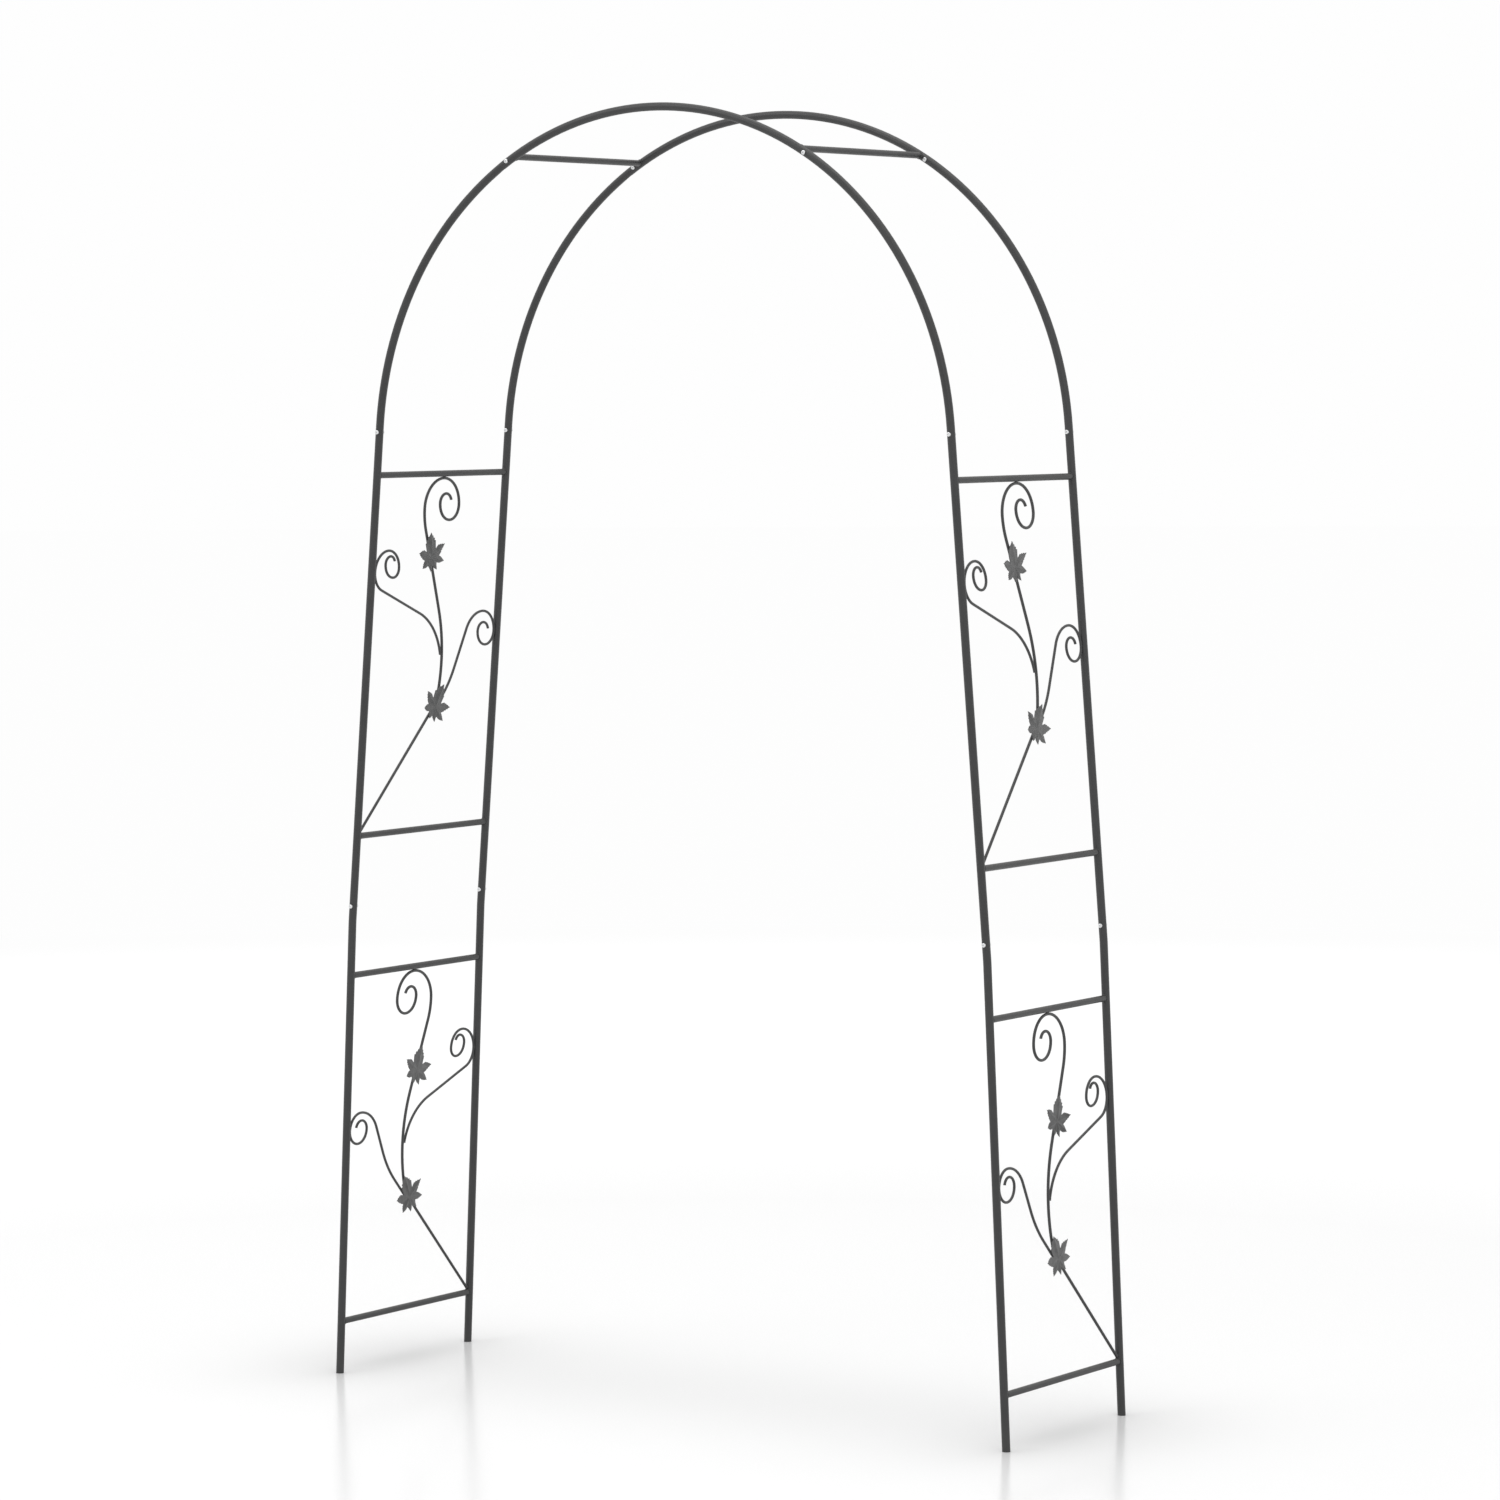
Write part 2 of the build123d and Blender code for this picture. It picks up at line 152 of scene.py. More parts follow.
def powder_coat(name, dark, light, peel_depth, dust_and_top_light=0.35):
    """Satin anthracite powder coat: orange peel, a cloudy tone, a dusting near the ground, and up-facing
    faces painted lighter, partly a settled dusting and partly painted top light.
    """
    coat = Shader(name)
    clouds = coat.spread(coat.noise(0.11, detail=4), 0.35, 0.65)
    mottle = coat.spread(coat.noise(0.012, detail=5, roughness=0.6), 0.3, 0.7)
    speck = coat.spread(coat.noise(0.0011, detail=2), 0.62, 0.74)
    tone = coat.math("ADD", coat.math("MULTIPLY", clouds, 0.6), coat.math("MULTIPLY", mottle, 0.4))
    colour = coat.mix(tone, dark, light)
    colour = coat.mix(coat.math("MULTIPLY", speck, 0.25), colour, tuple(1.7 * c for c in light))
    splash = coat.math("MULTIPLY", coat.spread(coat.height(), 0.07, 0.0, 0.0, 0.4), clouds)
    # Up-facing faces painted lighter: partly settled dust, partly a painted top light where the light falls
    # on them.
    settled_dust_and_top_light = coat.math("MULTIPLY", coat.upward(), coat.spread(mottle, 0.1, 0.9, 0.35, 1.0))
    dust_and_top_light_mask = coat.math("MULTIPLY", coat.math("MAXIMUM", splash, settled_dust_and_top_light), dust_and_top_light)
    # This pale grey stands for the dust splash near the ground and, on up-facing faces, for both settled
    # dust and painted top light.
    colour = coat.mix(dust_and_top_light_mask, colour, (0.13, 0.127, 0.12))
    sheen = coat.spread(tone, 0.2, 0.8, 0.36, 0.52)
    coat.feed(
        Base_Color=colour,
        Roughness=coat.math("ADD", sheen, coat.math("MULTIPLY", dust_and_top_light_mask, 0.4)),
        Specular_IOR_Level=0.5,
        Coat_Weight=0.12,
        Coat_Roughness=0.28,
    )
    coat.bumps((coat.noise(0.0016, detail=2), peel_depth), (coat.noise(0.0005, detail=1), peel_depth / 4))
    return coat.material


def zinc(name):
    """Bright zinc plate: pale metal with faint spangle, drawn scratches and dull patches."""
    plate = Shader(name)
    spangle = plate.value("ShaderNodeTexVoronoi", {"Vector": plate.place, "Scale": 1 / 0.0011}, output=1)
    grey = plate.value("ShaderNodeSeparateColor", {"Color": spangle}, output=0)
    dull = plate.spread(plate.noise(0.004, detail=4), 0.4, 0.7)
    colour = plate.mix(plate.math("MULTIPLY", grey, 0.5), (0.80, 0.81, 0.82), (0.66, 0.67, 0.69))
    colour = plate.mix(plate.math("MULTIPLY", dull, 0.35), colour, (0.58, 0.57, 0.54))
    plate.feed(
        Base_Color=colour,
        Metallic=1.0,
        Roughness=plate.spread(dull, 0.0, 1.0, 0.24, 0.46),
    )
    plate.bumps((plate.noise(0.0006, detail=3, stretch=(1, 6, 1)), 0.00002))
    return plate.material


def floor_finish(name):
    """Pale satin studio floor with a painted shade under the arch, that fades into the white of the room
    far off.
    """
    ground = Shader(name)
    x = ground.value("ShaderNodeSeparateXYZ", {"Vector": ground.place}, output=0)
    y = ground.value("ShaderNodeSeparateXYZ", {"Vector": ground.place}, output=1)
    away = ground.value("ShaderNodeVectorMath", {"Vector": ground.place}, output=1, operation="LENGTH")
    room = ground.spread(away, *FLOOR_FADE)
    here = ground.math("SUBTRACT", 1.0, room)

    def fall(distance, reach):
        """1 at no distance, falling off like a bell over that reach."""
        share = ground.math("DIVIDE", distance, reach)
        return ground.math("EXPONENT", ground.math("MULTIPLY", ground.math("MULTIPLY", share, share), -1.0))

    # Painted shade: bell-shaped darkening of the floor's colour under the arch and between each side's
    # legs.
    beside = ground.math("SUBTRACT", ground.math("ABSOLUTE", x), FOOT_X)
    outside = ground.math("MAXIMUM", beside, 0.0)
    painted_shade = 0.0
    for gap, (strength, along, across) in zip((outside, beside, beside), FLOOR_PAINTED_SHADES):
        spot = ground.math("MULTIPLY", fall(y, along), fall(gap, across))
        painted_shade = ground.math("ADD", painted_shade, ground.math("MULTIPLY", spot, strength))
    light = ground.math("MULTIPLY", ground.math("SUBTRACT", 1.0, painted_shade), here)
    cloud = ground.noise(1.3, detail=2)
    grain = ground.noise(0.004, detail=4)
    colour = ground.mix(cloud, FLOOR_TONE, tuple(1.01 * c for c in FLOOR_TONE))
    colour = ground.mix(light, (0.0, 0.0, 0.0), colour)
    ground.feed(
        Base_Color=colour,
        Roughness=ground.spread(grain, 0.3, 0.7, 0.16, 0.22),
        Specular_IOR_Level=ground.math("MULTIPLY", ground.math("POWER", here, 3.0), FLOOR_SHINE),
        Emission_Color=FAR_WHITE,
        Emission_Strength=room,
    )
    ground.bumps((grain, 0.00002))
    return ground.material


ROOM_WHITE = (0.991, 0.991, 0.991)
FAR_WHITE = (0.985, 0.985, 0.985)
FLOOR_TONE = (0.867, 0.867, 0.867)
FLOOR_SHINE = 0.12
FLOOR_FADE = (2.5, 9.0)  # metres from the arch over which the floor turns into the white of the room
FOOT_X = 0.74
# The painted shade under the arch, the ladders and the rungs: how dark, and how far it spreads along Y and
# X
FLOOR_PAINTED_SHADES = [(0.12, 0.36, 0.26), (0.09, 0.30, 0.17), (0.13, 0.20, 0.055)]
DARK, LIGHT = (0.0145, 0.015, 0.0155), (0.0275, 0.028, 0.0285)
TUBE_COAT = powder_coat("tube_powder_coat", DARK, LIGHT, 0.00005)
RUNG_COAT = powder_coat("rung_powder_coat", DARK, LIGHT, 0.00005, dust_and_top_light=0.5)
WIRE_COAT = powder_coat("wire_powder_coat", (0.018, 0.0185, 0.019), (0.034, 0.0345, 0.035), 0.00004)
# The leaf's pale light tone, far above its dark one, is a painted highlight: lit patches on the lobes are
# put into the colour.
LEAF_COAT_PAINTED_HIGHLIGHTS = powder_coat("leaf_powder_coat", (0.014, 0.0145, 0.015), (0.13, 0.1305, 0.13), 0.00009, dust_and_top_light=0.4)
WELD_COAT = powder_coat("weld_powder_coat", (0.015, 0.0155, 0.016), (0.030, 0.0305, 0.031), 0.00012)
SCREW_ZINC = zinc("screw_zinc")
NUT_ZINC = zinc("nut_zinc")


def coat_for(name):
    if name.endswith("rung"):
        return RUNG_COAT
    if name.endswith(("stem", "tendril")):
        return WIRE_COAT
    if name.endswith("leaf"):
        return LEAF_COAT_PAINTED_HIGHLIGHTS
    return TUBE_COAT


for name, node in NODES.items():
    node.data.materials.clear()
    node.data.materials.append(coat_for(name))


# ---------------------------------------------------------------- mesh helpers

class Pile:
    """Vertices and faces of one piece, added part by part."""

    def __init__(self):
        self.points, self.faces = [], []

    def add(self, points, faces):
        start = len(self.points)
        self.points += [tuple(p) for p in points]
        self.faces += [tuple(start + i for i in face) for face in faces]

    def loft(self, rings, closed_ends=True, looped=False):
        """Quads between rings of the same number of points, each ring running round once."""
        count = len(rings[0])
        faces = []
        for a in range(len(rings) if looped else len(rings) - 1):
            b = (a + 1) % len(rings)
            for i in range(count):
                j = (i + 1) % count
                faces.append((a * count + i, a * count + j, b * count + j, b * count + i))
        points = [p for ring in rings for p in ring]
        if closed_ends and not looped:
            for ring_index, order in ((0, -1), (len(rings) - 1, 1)):
                middle = len(points)
                points.append(sum((Vector(p) for p in rings[ring_index]), Vector()) / count)
                for i in range(count):
                    j = (i + 1) % count
                    a, b = ring_index * count + i, ring_index * count + j
                    faces.append((a, b, middle) if order > 0 else (b, a, middle))
        self.add(points, faces)

    def piece(self, name, material, smooth=True):
        mesh = bpy.data.meshes.new(name)
        mesh.from_pydata(self.points, [], self.faces)
        mesh.materials.append(material)
        mesh.validate()
        mesh.polygons.foreach_set("use_smooth", [smooth] * len(mesh.polygons))
        mesh.update()
        item = bpy.data.objects.new(name, mesh)
        bpy.context.scene.collection.objects.link(item)
        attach(item, "root")
        return item


def centre_of(name):
    low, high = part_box(name)
    return (low + high) / 2


def world_points(name):
    return np.array([v.co for v in NODES[name].data.vertices], float)


# ---------------------------------------------------------------- ladder panels

def panel_frame(side, level):
    """A ladder panel's bottom middle, its direction up the legs, and the way its leaves face, +X."""
    bottom = centre_of(f"{side}_{level}_bottom_rung")
    up = (centre_of(f"{side}_{level}_top_rung") - bottom).normalized()
    return bottom, up, Vector((0, 1, 0)).cross(up)


# ---------------------------------------------------------------- stamped leaves

# Lobes as (direction in degrees, length, shoulder, half width there), and the notches between them as
# (direction, depth from the middle), all in millimetres.
LOBES = [(-71, 29, 22, 4.5), (-25, 37, 27, 6.0), (22, 45, 29, 8.0), (90, 48, 29, 15.0)]
NOTCHES = [(-47, 20), (-7, 23), (42, 19)]
HEEL = 17.0
DISH_R = 600.0
SHEET = 1.2
CAD_EDGE = [(0.0, 1.0), (0.3, 0.5)]
TOOTHED_EDGE = [(0.0, 1.08), (0.07, 0.82), (0.30, 0.86), (0.36, 0.58), (0.60, 0.52), (0.65, 0.30)]
EDGE_STEPS = 3  # points along each straight of the outline
LEAF_RINGS = 14  # rings of points from the middle to the outline
RIM_ROUND = 0.18
WIRE_GAP = 0.05


def leaf_corners(edge):
    """The leaf's outline, its tip along +Y. An edge's points are (share from the shoulder to the tip,
    share of the half width)."""
    half = [(0, -HEEL)]
    for index, (direction, length, shoulder, width) in enumerate(LOBES):
        reach = math.radians(direction)
        steps = [(shoulder + share * (length - shoulder), across * width) for share, across in edge]
        profile = [(along, -across) for along, across in steps] + [(length, 0)]
        if direction < 90:
            profile += reversed(steps)
        for along, across in profile:
            half.append((along * math.cos(reach) - across * math.sin(reach),
                         along * math.sin(reach) + across * math.cos(reach)))
        if index < len(NOTCHES):
            angle, depth = NOTCHES[index]
            half.append((depth * math.cos(math.radians(angle)), depth * math.sin(math.radians(angle))))
    return half + [(-x, y) for x, y in reversed(half[1:-1])]


def vein_lines():
    """Veins as (start, end, is a main one): one along each lobe and pairs to its teeth."""
    lines = []
    for direction, length, shoulder, width in LOBES:
        for mirror in ((1, -1) if direction < 90 else (1,)):
            reach = Vector((mirror * math.cos(math.radians(direction)), math.sin(math.radians(direction))))
            across = Vector((-reach.y, reach.x))
            lines.append((Vector((0, 0)), reach * length * 0.95, True))
            for share, along, wide in ((0.38, shoulder, 0.85),
                                       (0.62, shoulder + 0.3 * (length - shoulder), 0.55)):
                for way in (1, -1):
                    lines.append((reach * length * share, reach * along + across * (way * width * wide),
                                  False))
    return lines


VEINS = vein_lines()


def relief(point):
    """Pressed relief: a ridge on each vein, and the sheet folded up towards the main ones."""
    ridge = fold = 0.0
    for start, end, is_main in VEINS:
        run = end - start
        share = min(1.0, max(0.0, (point - start).dot(run) / run.length_squared))
        gap = (point - (start + run * share)).length
        height, width = (0.8, 1.2) if is_main else (0.4, 0.8)
        ridge = max(ridge, height * (1 - 0.45 * share) * math.exp(-(gap / width) ** 2))
        if is_main:
            fold = max(fold, 1.5 * math.exp(-(gap / 4.5) ** 2) * min(1.0, point.length / 14))
    return ridge + fold


def leaf(side, level, place):
    """A pressed sheet-metal leaf in place of the CAD leaf: veins, folded lobes and lifted tips."""
    name = f"{side}_{level}_{place}_leaf"
    bottom, up, facing = panel_frame(side, level)
    turned = LEVELS[level]
    heading = math.radians(LEAF_HEADING[place])
    tip = Vector((0, turned, 0)) * math.cos(heading) + up * math.sin(heading)
    across = tip.cross(facing)
    flat = np.array([[(p - np.array(bottom)) @ np.array(axis) for axis in (across, tip)]
                     for p in world_points(name)]) / MM
    cad = np.array(leaf_corners(CAD_EDGE))
    shift = (flat.min(0) + flat.max(0)) / 2 - (cad.min(0) + cad.max(0)) / 2
    middle = bottom + across * (shift[0] * MM) + tip * (shift[1] * MM)

    rng = random.Random(name)
    corners = leaf_corners(TOOTHED_EDGE)
    outline = []
    for index, corner in enumerate(corners):
        after = corners[(index + 1) % len(corners)]
        for step in range(EDGE_STEPS):
            share = step / EDGE_STEPS
            outline.append(Vector((corner[0] + (after[0] - corner[0]) * share,
                                   corner[1] + (after[1] - corner[1]) * share)))
    phase = rng.uniform(0, math.tau)
    lift = {lobe: rng.uniform(-1.5, 1.0) for lobe in range(-3, 4)}

    def face_height(point):
        reach = point.length
        angle = math.atan2(point.y, point.x)
        dish = DISH_R - math.sqrt(DISH_R ** 2 - reach ** 2)
        from_tip = (math.degrees(angle) - 90 + 180) % 360 - 180
        lobe = max(-3, min(3, round(from_tip / 55)))
        tip_lift = lift[lobe] * (max(0.0, reach / 46 - 0.45) / 0.55) ** 2
        ripple = 0.3 * math.sin(angle * 7 + phase) * min(1.0, reach / 30)
        return dish + tip_lift + ripple + relief(point)

    shares = [(ring / LEAF_RINGS) ** 0.85 for ring in range(1, LEAF_RINGS + 1)]
    pile = Pile()
    back_gap = STEM_R / MM + WIRE_GAP

    def place_point(point, height):
        return middle + across * (point.x * MM) + tip * (point.y * MM) + facing * (height * MM)

    count = len(outline)
    points, faces = [], []
    for layer in (0, 1):
        start = len(points)
        for share in shares:
            for edge in outline:
                point = edge * share
                height = back_gap + face_height(point) + (SHEET if layer else 0)
                if share == 1.0:
                    height += RIM_ROUND * (-1 if layer else 1)
                points.append(place_point(point, height))
        hub = len(points)
        points.append(place_point(Vector((0, 0)), back_gap + face_height(Vector((0, 0))) + SHEET * layer))
        for i in range(count):
            j = (i + 1) % count
            triangle = (hub, start + i, start + j)
            faces.append(triangle if layer else triangle[::-1])
            for ring in range(LEAF_RINGS - 1):
                a, b = start + ring * count, start + (ring + 1) * count
                quad = (a + i, b + i, b + j, a + j)
                faces.append(quad if layer else quad[::-1])
    under = (LEAF_RINGS - 1) * count
    over = len(points) // 2 + under
    for i in range(count):
        j = (i + 1) % count
        faces.append((over + i, under + i, under + j, over + j))
    pile.add(points, faces)
    item = pile.piece(f"{name}_pressed", LEAF_COAT_PAINTED_HIGHLIGHTS)
    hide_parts(name)
    return item


for side in SIDES:
    for level in LEVELS:
        for place in ("low", "high"):
            leaf(side, level, place)


# ---------------------------------------------------------------- welds

WELD_RNG = random.Random(41)
TOUCH = 0.6 * MM  # pieces nearer than this are welded
SEARCH = 8 * MM
LONGEST_HALF_BEAD = 12 * MM
BEAD_OVERRUN = 2.2 * MM
STEM_BEAD_R, CURL_BEAD_R, TENDRIL_BEAD_R, LEAF_BEAD_R = 2.4 * MM, 1.9 * MM, 1.7 * MM, 1.6 * MM


def ring_weld(pile, middle, outward, along_tube):
    """A rippled fillet where a rung's saddled end meets the round tube.

    middle is on the tube's axis, outward runs from there along the rung.
    """
    across = along_tube.cross(outward)
    turns, sides = 72, 10
    ripples = WELD_RNG.randint(13, 17)
    phase = WELD_RNG.uniform(0, math.tau)
    rings = []
    for turn in range(turns):
        angle = math.tau * turn / turns
        p, q = math.cos(angle), math.sin(angle)
        reach = math.sqrt(TUBE_R ** 2 - (RUNG_R * p) ** 2)
        lump = abs(math.sin(ripples * angle / 2 + phase))
        radius = (0.95 + 0.4 * lump + 0.2 * math.sin(3 * angle + phase)) * MM
        away = across * p + along_tube * q
        centre = middle + away * (RUNG_R + 0.25 * MM) + outward * (reach + 0.25 * MM)
        rings.append([centre + (away * math.cos(math.tau * s / sides)
                                + outward * math.sin(math.tau * s / sides)) * radius
                      for s in range(sides)])
    pile.loft(rings, looped=True)


def sampled(name):
    """Points all over a CAD node, close together even on its long straight faces."""
    mesh = NODES[name].data
    points = np.array([v.co for v in mesh.vertices], float)
    edges = np.array([e.vertices for e in mesh.edges])
    starts, ends = points[edges[:, 0]], points[edges[:, 1]]
    lengths = np.linalg.norm(ends - starts, axis=1)
    found = [points]
    for start, end, length in zip(starts, ends, lengths):
        if length > 3 * MM:
            shares = np.linspace(0, 1, int(length / (1.5 * MM)) + 2)[1:-1, None]
            found.append(start + (end - start) * shares)
    return np.concatenate(found)


SURFACES = {}
SAMPLES = {}


def surface(name):
    if name not in SURFACES:
        mesh = NODES[name].data
        SURFACES[name] = BVHTree.FromPolygons(
            [v.co for v in mesh.vertices], [p.vertices for p in mesh.polygons])
    return SURFACES[name]


def contact(wire, other):
    """Where a wire touches another node: (middle, direction along the wire, length), or None."""
    if wire not in SAMPLES:
        SAMPLES[wire] = sampled(wire)
    points = SAMPLES[wire]
    low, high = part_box(other)
    near = np.all((points > np.array(low) - SEARCH) & (points < np.array(high) + SEARCH), axis=1)
    touching = []
    tree = surface(other)
    for point in points[near]:
        found, _, _, gap = tree.find_nearest(Vector(point), TOUCH)
        if found is not None:
            touching.append((gap, (Vector(point) + found) / 2))
    if not touching:
        return None
    least = min(gap for gap, _ in touching)
    held = np.array([p for gap, p in touching if gap < least + 0.12 * MM])
    middle = held.mean(0)
    around = points[np.linalg.norm(points - middle, axis=1) < 9 * MM]
    _, _, axes = np.linalg.svd(around - around.mean(0))
    direction = axes[0]
    stretch = (held - middle) @ direction
    return Vector(middle), Vector(direction), float(stretch.max() - stretch.min())


def bead(pile, middle, direction, half_length, radius):
    """A lumpy run of weld along a wire."""
    side = direction.orthogonal().normalized()
    other = direction.cross(side)
    stations, sides = 17, 12
    phase = WELD_RNG.uniform(0, math.tau)
    lumps = max(2, round(half_length / (1.3 * MM)))
    rings = []
    for station in range(stations):
        share = -1 + 2 * station / (stations - 1)
        taper = math.sqrt(max(0.0, 1 - share ** 2)) * 0.95 + 0.05
        swell = 1 + 0.12 * math.cos(share * lumps * math.pi + phase)
        ring = []
        for s in range(sides):
            angle = math.tau * s / sides
            wobble = 1 + 0.08 * math.sin(2 * angle + phase + 4 * share)
            reach = radius * taper * swell * wobble
            ring.append(middle + direction * (share * half_length)
                        + (side * math.cos(angle) + other * math.sin(angle)) * reach)
        rings.append(ring)
    pile.loft(rings)


def weld_contact(pile, wire, other, radius):
    found = contact(wire, other)
    if found is None:
        return
    middle, direction, length = found
    bead(pile, middle, direction, min(length / 2, LONGEST_HALF_BEAD) + BEAD_OVERRUN, radius)


crown_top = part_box("front_crown_tube")[1].z - TUBE_R


def crown_direction(middle):
    """The way the hoops run at a crown rung, from the circle through the crown and the rung."""
    centre_z = (crown_top ** 2 - middle.x ** 2 - middle.z ** 2) / (2 * (crown_top - middle.z))
    return Vector((-(middle.z - centre_z), 0, middle.x)).normalized()


ROW_Y = {row: centre_of(f"{row}_crown_tube").y for row in ROWS}


def rung_welds(pile, name, along_tube):
    middle = centre_of(name)
    for y in ROW_Y.values():
        inward = Vector((0, -math.copysign(1, y), 0))
        ring_weld(pile, Vector((middle.x, y, middle.z)), inward, along_tube)


for side in SIDES:
    for level in LEVELS:
        panel = f"{side}_{level}"
        _, up, _ = panel_frame(side, level)
        welds = Pile()
        for place in ("bottom", "top"):
            rung_welds(welds, f"{panel}_{place}_rung", up)
        legs = [f"{side}_{row}_{level}_leg" for row in ROWS]
        for leg in legs:
            weld_contact(welds, f"{panel}_stem", leg, STEM_BEAD_R)
            weld_contact(welds, f"{panel}_high_tendril", leg, TENDRIL_BEAD_R)
            weld_contact(welds, f"{panel}_low_tendril", leg, TENDRIL_BEAD_R)
        weld_contact(welds, f"{panel}_stem", f"{panel}_top_rung", CURL_BEAD_R)
        weld_contact(welds, f"{panel}_high_tendril", f"{panel}_stem", TENDRIL_BEAD_R)
        weld_contact(welds, f"{panel}_low_tendril", f"{panel}_stem", TENDRIL_BEAD_R)
        for place in ("low", "high"):
            weld_contact(welds, f"{panel}_stem", f"{panel}_{place}_leaf", LEAF_BEAD_R)
        welds.piece(f"{panel}_welds", WELD_COAT)
    crown = Pile()
    crown_rung = f"{side}_crown_rung"
    rung_welds(crown, crown_rung, crown_direction(centre_of(crown_rung)))
    crown.piece(f"{side}_crown_welds", WELD_COAT)


# ---------------------------------------------------------------- screws and nuts

HEAD_R, HEAD_H, SHANK_R, SHANK_L, PITCH = 4.0, 3.0, 2.0, 20.0, 0.7
RECESS_HALF, RECESS_WEB, RECESS_DEEP = 2.1, 0.5, 1.6
NUT_FLAT, NUT_H, NUT_HOLE = 3.5, 3.2, 2.05


def fasteners(name):
    """The box of each fastener of a group node, which stand far apart along X or Z, or on two hoops."""
    groups = []
    for vertex in NODES[name].data.vertices:
        point = np.array(vertex.co)
        for group in groups:
            far = np.abs(point - group[0])
            if max(far[0], far[2]) < HEAD_R * 3 * MM and far[1] < SHANK_L * 2 * MM:
                group.append(point)
                break
        else:
            groups.append([point])
    return [(Vector(np.min(group, 0)), Vector(np.max(group, 0))) for group in groups]


def smooth_step(value):
    value = min(1.0, max(0.0, value))
    return value * value * (3 - 2 * value)


def screw(pile, seat, spin):
    """A pan-head screw with a cross recess and a rolled thread; its head faces -Y from the seat."""
    turn = Matrix.Rotation(spin, 3, "Y")
    out = Vector((0, -1, 0))
    u, v = turn @ Vector((1, 0, 0)), turn @ Vector((0, 0, 1))
    sides = 72

    def at(r, angle, height):
        return seat + (u * math.cos(angle) + v * math.sin(angle)) * (r * MM) + out * (height * MM)

    def recess(r, angle):
        x, y = abs(r * math.cos(angle)), abs(r * math.sin(angle))
        wing = min(x, y)
        inside_wing = 1 - smooth_step((wing - RECESS_WEB * 0.7) / (RECESS_WEB * 0.6))
        inside_reach = 1 - smooth_step((max(x, y) - RECESS_HALF * 0.72) / (RECESS_HALF * 0.3))
        return RECESS_DEEP * inside_wing * inside_reach

    rings = [[at(HEAD_R - 0.15, math.tau * s / sides, 0.0) for s in range(sides)],
             [at(HEAD_R, math.tau * s / sides, 0.2) for s in range(sides)],
             [at(HEAD_R, math.tau * s / sides, 1.3) for s in range(sides)]]
    for step in range(1, 8):
        lean = math.radians(90 * step / 8)
        rings.append([at(HEAD_R - 1.3 * (1 - math.cos(lean)), math.tau * s / sides,
                         1.3 + 1.5 * math.sin(lean)) for s in range(sides)])
    for step in range(12):
        r = 2.6 * (1 - step / 12)
        dome = HEAD_H - 0.2 * (r / HEAD_R) ** 2
        rings.append([at(r, math.tau * s / sides, dome - recess(r, math.tau * s / sides))
                      for s in range(sides)])
    pile.loft([ring[::-1] for ring in rings])

    per_pitch, thread_sides = 6, 20
    stations = int(SHANK_L / PITCH * per_pitch)
    rings = []
    for station in range(stations + 1):
        depth = SHANK_L * station / stations
        point = smooth_step((SHANK_L - depth) / 0.6) * 0.25 + 0.75
        ring = []
        for s in range(thread_sides):
            angle = math.tau * s / thread_sides
            saw = (depth / PITCH + angle / math.tau) % 1.0
            cut = 0.42 * abs(2 * saw - 1)
            ring.append(at((SHANK_R - cut) * point, angle, 0.02 - depth))
        rings.append(ring)
    pile.loft(rings)


def nut(pile, seat, spin):
    """A hexagon nut with a chamfer on both faces; it sits on the seat and rises along +Y."""
    turn = Matrix.Rotation(spin, 3, "Y")
    out = Vector((0, 1, 0))
    u, v = turn @ Vector((1, 0, 0)), turn @ Vector((0, 0, 1))
    sides = 96
    slope = math.tan(math.radians(28))
    profile = []
    for s in range(sides):
        angle = math.tau * s / sides
        hexagon = NUT_FLAT / math.cos((angle % (math.pi / 3)) - math.pi / 6)
        drop = (hexagon - NUT_FLAT) * slope
        profile.append((angle, hexagon, drop))
    levels = [
        [(NUT_HOLE + 0.35, 0.0)] * sides,
        [(NUT_FLAT * 0.97, 0.0)] * sides,
        [(hexagon, drop + 0.06) for _, hexagon, drop in profile],
        [(hexagon, NUT_H - drop - 0.06) for _, hexagon, drop in profile],
        [(NUT_FLAT * 0.97, NUT_H)] * sides,
        [(NUT_HOLE + 0.35, NUT_H)] * sides,
        [(NUT_HOLE, NUT_H - 0.35)] * sides,
        [(NUT_HOLE, 0.35)] * sides,
    ]
    rings = [[seat + (u * math.cos(profile[s][0]) + v * math.sin(profile[s][0])) * (r * MM)
              + out * (height * MM) for s, (r, height) in enumerate(level)] for level in levels]
    pile.loft([ring[::-1] for ring in rings], looped=True)


turner = random.Random(12)
screws = Pile()
for low, high in fasteners("joint_screws"):
    middle = (low + high) / 2
    screw(screws, Vector((middle.x, low.y + HEAD_H * MM, middle.z)), turner.uniform(0, math.pi / 2))
item = screws.piece("joint_screws_detailed", SCREW_ZINC)
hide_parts("joint_screws")

nuts = Pile()
for low, high in fasteners("joint_nuts"):
    middle = (low + high) / 2
    nut(nuts, Vector((middle.x, low.y, middle.z)), turner.uniform(0, math.pi / 3))
item = nuts.piece("joint_nuts_detailed", NUT_ZINC, smooth=False)
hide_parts("joint_nuts")


# ---------------------------------------------------------------- floor, light, camera

FLOOR_RINGS = (2.0, 8.0, 60.0)
FLOOR_SIDES = 96


def floor_ring(radius):
    angles = [math.tau * s / FLOOR_SIDES for s in range(FLOOR_SIDES)]
    return [Vector((radius * math.cos(angle), radius * math.sin(angle), 0)) for angle in angles]


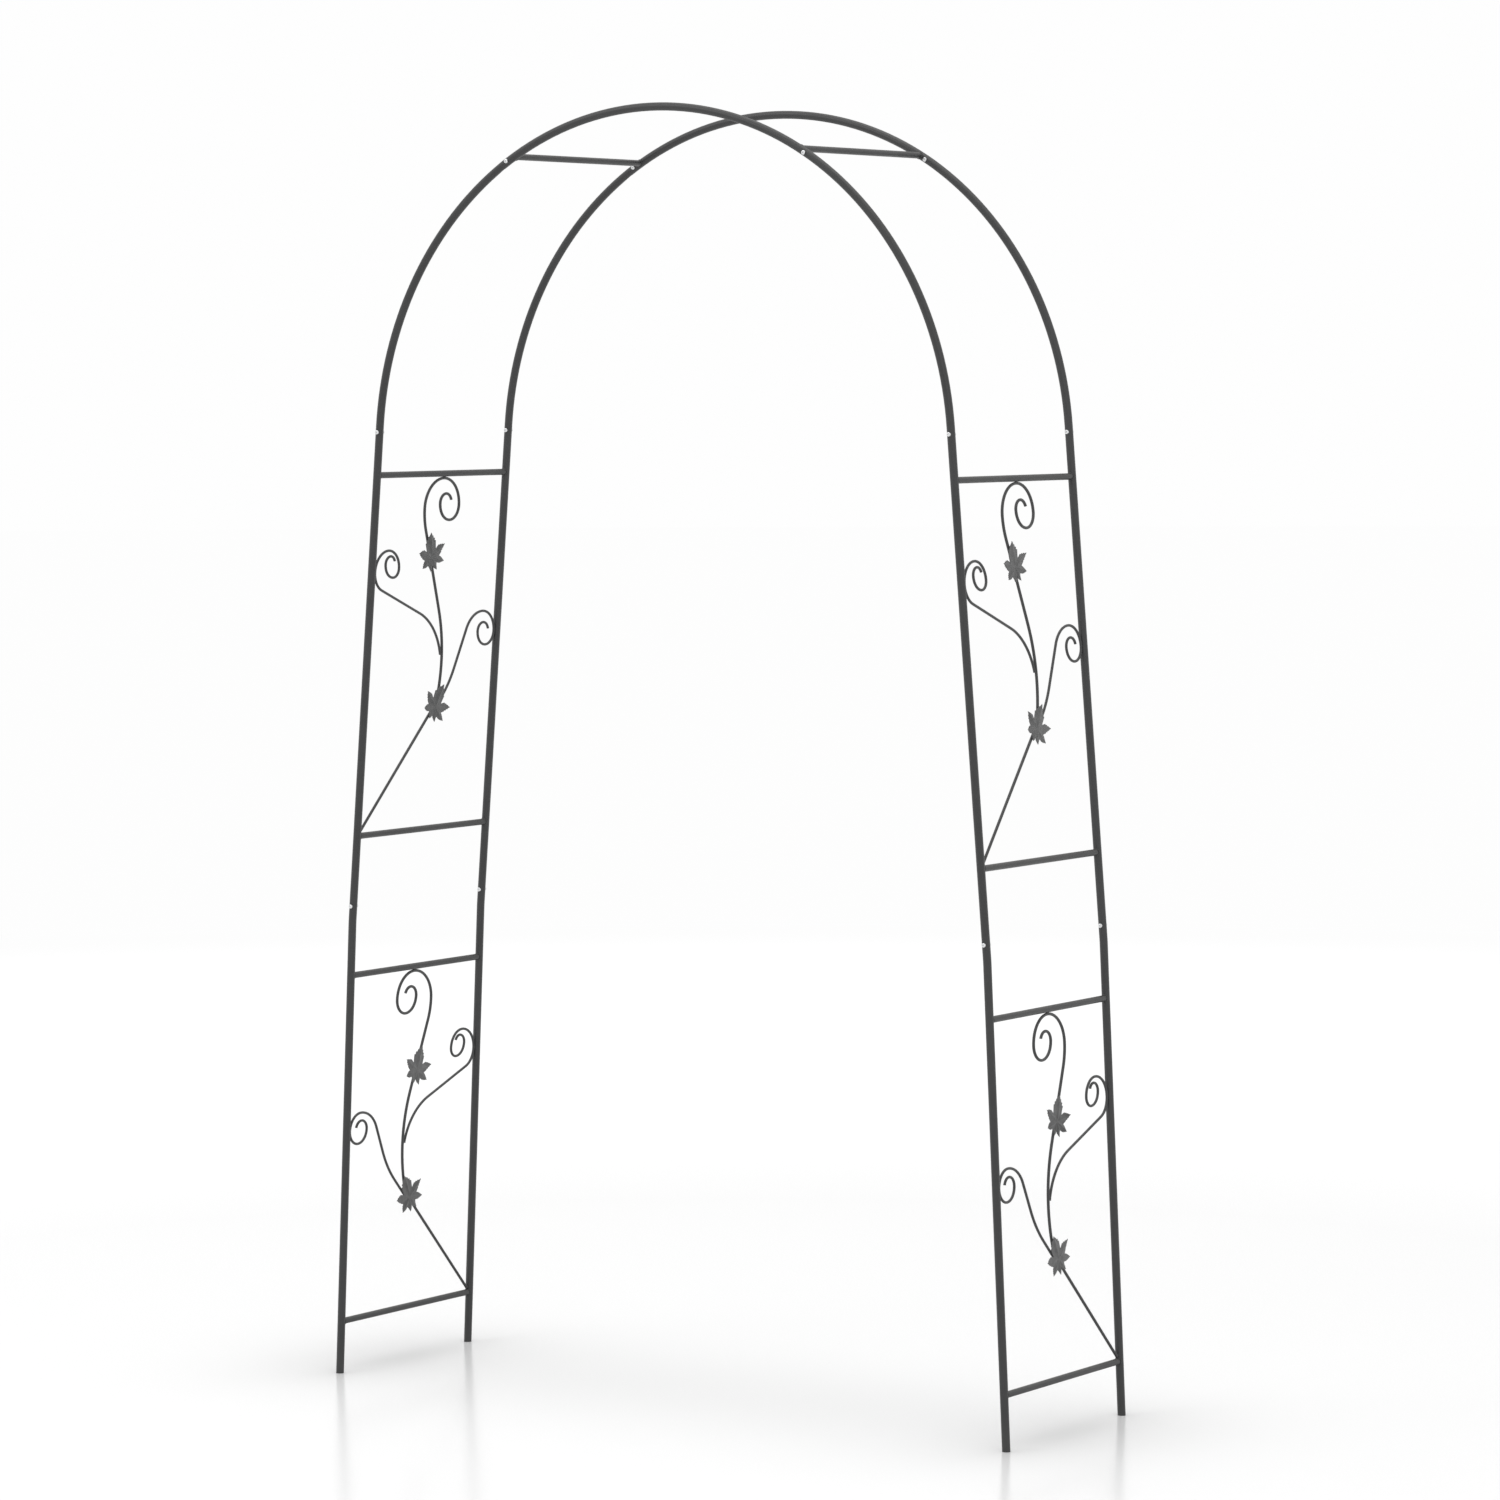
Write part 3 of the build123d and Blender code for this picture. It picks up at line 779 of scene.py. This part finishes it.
disc = Pile()
disc.loft([floor_ring(radius) for radius in FLOOR_RINGS], closed_ends=False)
disc.add(floor_ring(FLOOR_RINGS[0]), [tuple(range(FLOOR_SIDES))])
floor_mesh = bpy.data.meshes.new("floor")
floor_mesh.from_pydata(disc.points, [], disc.faces)
floor_mesh.materials.append(floor_finish("floor_finish"))
floor = bpy.data.objects.new("floor", floor_mesh)
bpy.context.scene.collection.objects.link(floor)
floor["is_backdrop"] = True

world = bpy.data.worlds.new("studio")
world.use_nodes = True
world.node_tree.nodes["Background"].inputs["Color"].default_value = (*ROOM_WHITE, 1.0)
world.node_tree.nodes["Background"].inputs["Strength"].default_value = 1.0
bpy.context.scene.world = world
bpy.context.scene.view_settings.view_transform = "Standard"


def area_light(name, place, target, size, power):
    data = bpy.data.lights.new(name, "AREA")
    data.shape = "DISK"
    data.size = size
    data.energy = power
    lamp = bpy.data.objects.new(name, data)
    lamp.location = place
    lamp.rotation_mode = "QUATERNION"
    lamp.rotation_quaternion = (Vector(target) - Vector(place)).to_track_quat("-Z", "Y")
    bpy.context.scene.collection.objects.link(lamp)


middle = (cad_low + cad_high) / 2
# name, place from the middle of the arch, size in metres, power in watts
LIGHTS = [("key", (-3.5, -4.5, 4.5), 3.0, 60),
          ("fill", (5.0, -3.0, 3.0), 4.0, 20),
          ("top", (0, 0, 5.0), 4.0, 40)]
for name, place, size, power in LIGHTS:
    area_light(name, middle + Vector(place), middle, size, power)

CAMERA_AT = (5.766, -8.699, 1.906)
CAMERA_YAW, CAMERA_PITCH, CAMERA_ROLL = 33.23, -3.82, -0.19
LENS, SENSOR = 134.9, 36.0
yaw, pitch = math.radians(CAMERA_YAW), math.radians(CAMERA_PITCH)
aim = Vector((-math.sin(yaw) * math.cos(pitch), math.cos(yaw) * math.cos(pitch), math.sin(pitch)))
data = bpy.data.cameras.new("camera")
data.lens, data.sensor_width = LENS, SENSOR
data.clip_end = 200
camera = bpy.data.objects.new("camera", data)
camera.location = CAMERA_AT
camera.rotation_mode = "QUATERNION"
camera.rotation_quaternion = aim.to_track_quat("-Z", "Y") @ Matrix.Rotation(
    math.radians(CAMERA_ROLL), 4, "Z").to_quaternion()
bpy.context.scene.collection.objects.link(camera)
bpy.context.scene.camera = camera

low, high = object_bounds()
